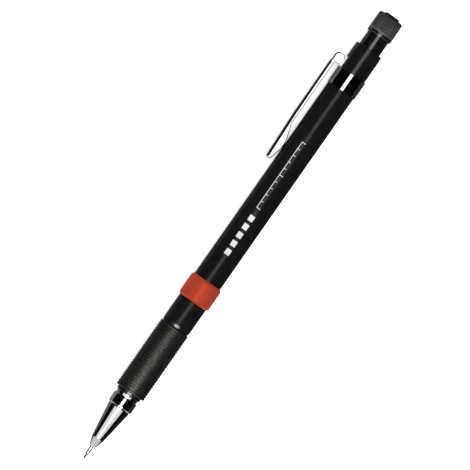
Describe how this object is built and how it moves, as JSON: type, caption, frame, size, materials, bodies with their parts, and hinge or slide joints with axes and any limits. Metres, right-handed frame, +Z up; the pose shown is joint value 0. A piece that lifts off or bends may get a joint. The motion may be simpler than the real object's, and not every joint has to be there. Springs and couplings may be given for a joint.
{
  "type": "mechanical pencil",
  "caption": "Slim click-advance mechanical pencil with a chromed cone, ringed grip, coloured ring, spring clip and ribbed push cap.",
  "frame": {"origin": "bottom centre of the bounding box, on the surface that the pencil lies on", "axes": "+X along the pencil towards the lead, +Z up, the clip towards -Y and a little down"},
  "size_m": [0.1428, 0.0118, 0.0093],
  "materials": {
    "chrome": "bright chrome plate",
    "steel": "drawn steel",
    "soft_rubber": "soft matte",
    "graphite": "polymer graphite, slight sheen",
    "brass": "turned",
    "gloss_black": "polished",
    "grip_rubber": "matte, ringed",
    "orange_red": "satin",
    "barrel_black": "smooth, soft gloss",
    "collar_black": "satin",
    "white_plastic": "plain moulded",
    "white_eraser": "soft matte",
    "cap_black": "matte, ribbed"
  },
  "bodies": {
    "barrel": {"front_barrel": "barrel_black", "grip_sleeve": "grip_rubber", "colour_ring": "orange_red", "rear_barrel": "barrel_black", "clip_band": "chrome", "clip_foot": "chrome", "top_collar": "collar_black", "chuck_housing": "white_plastic", "return_spring": "steel"},
    "retainer": {"lead_retainer": "soft_rubber"},
    "nose": {"nose_cone": "chrome", "lead_sleeve": "steel"},
    "lead": {"working_lead": "graphite"},
    "button": {"button_tube": "gloss_black", "lead_reservoir": "white_plastic", "chuck_stem": "brass", "spare_lead_1": "graphite", "spare_lead_2": "graphite", "spare_lead_3": "graphite"},
    "clutch": {"clutch_ring": "brass"},
    "jaw_1": {"chuck_jaw_1": "brass"},
    "jaw_2": {"chuck_jaw_2": "brass"},
    "jaw_3": {"chuck_jaw_3": "brass"},
    "eraser": {"eraser": "white_eraser"},
    "cap": {"button_cap": "cap_black"},
    "clip": {"clip_arm": "chrome"}
  },
  "joints": [
    {"name": "button_press", "type": "slide", "parent": "barrel", "child": "button", "axis": [1, 0, 0], "range_m": [0, 0.003], "stiffness_N_per_m": 450, "springref_m": -0.004, "deforming": ["return_spring"]},
    {"name": "clutch_ring_slide", "type": "slide", "parent": "button", "child": "clutch", "axis": [-1, 0, 0], "range_m": [0, 0.0022]},
    {"name": "jaw_1_open", "type": "hinge", "parent": "button", "child": "jaw_1", "pos_m": [0.04743, 0.00131, 0.00545], "axis": [0, -0.9968, 0.0802], "range_deg": [0, 1.8]},
    {"name": "jaw_2_open", "type": "hinge", "parent": "button", "child": "jaw_2", "pos_m": [0.04743, 0.0019, 0.0042], "axis": [0, 0.5678, 0.8231], "range_deg": [0, 1.8]},
    {"name": "jaw_3_open", "type": "hinge", "parent": "button", "child": "jaw_3", "pos_m": [0.04743, 0.00052, 0.00431], "axis": [0, 0.4289, -0.9033], "range_deg": [0, 1.8]},
    {"name": "nose_travel", "type": "slide", "parent": "barrel", "child": "retainer", "axis": [1, 0, 0], "range_m": [0, 0.0036]},
    {"name": "nose_turn", "type": "hinge", "parent": "retainer", "child": "nose", "pos_m": [0.05423, 0.00125, 0.00465], "axis": [1, 0, 0], "range_deg": [0, 2160]},
    {"name": "lead_feed", "type": "slide", "parent": "barrel", "child": "lead", "axis": [1, 0, 0], "range_m": [-0.0012, 0.006]},
    {"name": "eraser_pull", "type": "slide", "parent": "button", "child": "eraser", "axis": [-1, 0, 0], "range_m": [0, 0.0075]},
    {"name": "cap_pull", "type": "slide", "parent": "eraser", "child": "cap", "axis": [-1, 0, 0], "range_m": [0, 0.0065]},
    {"name": "clip_flex", "type": "hinge", "parent": "barrel", "child": "clip", "pos_m": [-0.05275, -0.0022, 0.00302], "axis": [0, 0.4289, -0.9033], "range_deg": [0, 3], "stiffness_Nm_per_rad": 1.2, "springref_deg": -1.72}
  ],
  "couplings": [
    {"joint": "clutch_ring_slide", "follows": "button_press", "ratio": 0.7333},
    {"joint": "jaw_1_open", "follows": "button_press", "rad_per_m": 10.467},
    {"joint": "jaw_2_open", "follows": "button_press", "rad_per_m": 10.467},
    {"joint": "jaw_3_open", "follows": "button_press", "rad_per_m": 10.467},
    {"joint": "nose_turn", "follows": "nose_travel", "rad_per_m": 10471}
  ]
}
